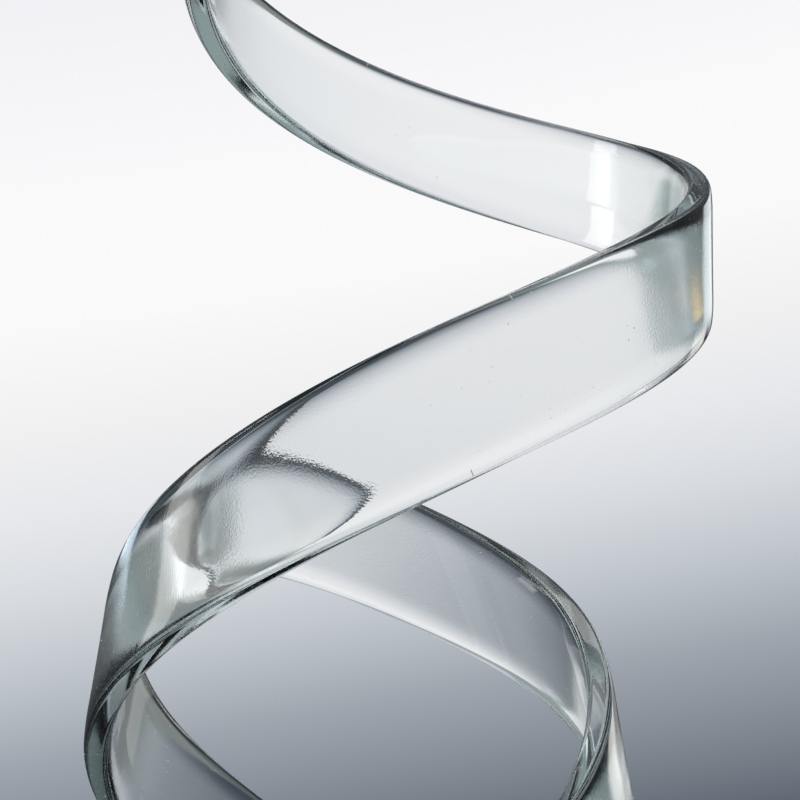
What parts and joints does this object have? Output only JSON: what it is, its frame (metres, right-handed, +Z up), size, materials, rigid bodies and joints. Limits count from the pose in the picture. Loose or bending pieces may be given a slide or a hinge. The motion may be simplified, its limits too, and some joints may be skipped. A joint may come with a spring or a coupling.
{
  "type": "glass ribbon sculpture",
  "caption": "Free-standing sculpture of clear glass ribbons wound as an open, leaning double helix, clamped by their feet to a round metal base.",
  "frame": {"origin": "centre of the base's underside, on the surface it stands on", "axes": "+Z up, -Y towards the front, +X to the right seen from the front; the coil leans towards +X"},
  "size_m": [0.1696, 0.1696, 0.3767],
  "materials": {
    "clear_glass": "clear soda-lime glass with a faint blue-green body tint, fire-polished",
    "base_metal": "turned and satin black anodised",
    "clamp_steel": "fine brushed stainless steel",
    "screw_steel": "turned stainless steel",
    "silicone": "matt dark grey silicone",
    "cork": "pressed fine-grain cork"
  },
  "bodies": {
    "root": {"tall_ribbon": "clear_glass", "short_ribbon": "clear_glass", "tall_clamp_jaw": "clamp_steel", "tall_clamp_plate": "clamp_steel", "tall_setting_block": "silicone", "tall_outer_liner": "silicone", "tall_inner_liner": "silicone", "tall_clamp_screw_left": "screw_steel", "tall_base_bolt_left": "screw_steel", "tall_bolt_washer_left": "screw_steel", "tall_clamp_screw_right": "screw_steel", "tall_base_bolt_right": "screw_steel", "tall_bolt_washer_right": "screw_steel", "short_clamp_jaw": "clamp_steel", "short_clamp_plate": "clamp_steel", "short_setting_block": "silicone", "short_outer_liner": "silicone", "short_inner_liner": "silicone", "short_clamp_screw_left": "screw_steel", "short_base_bolt_left": "screw_steel", "short_bolt_washer_left": "screw_steel", "short_clamp_screw_right": "screw_steel", "short_base_bolt_right": "screw_steel", "short_bolt_washer_right": "screw_steel", "base_disc": "base_metal", "base_pad": "cork"}
  },
  "joints": []
}
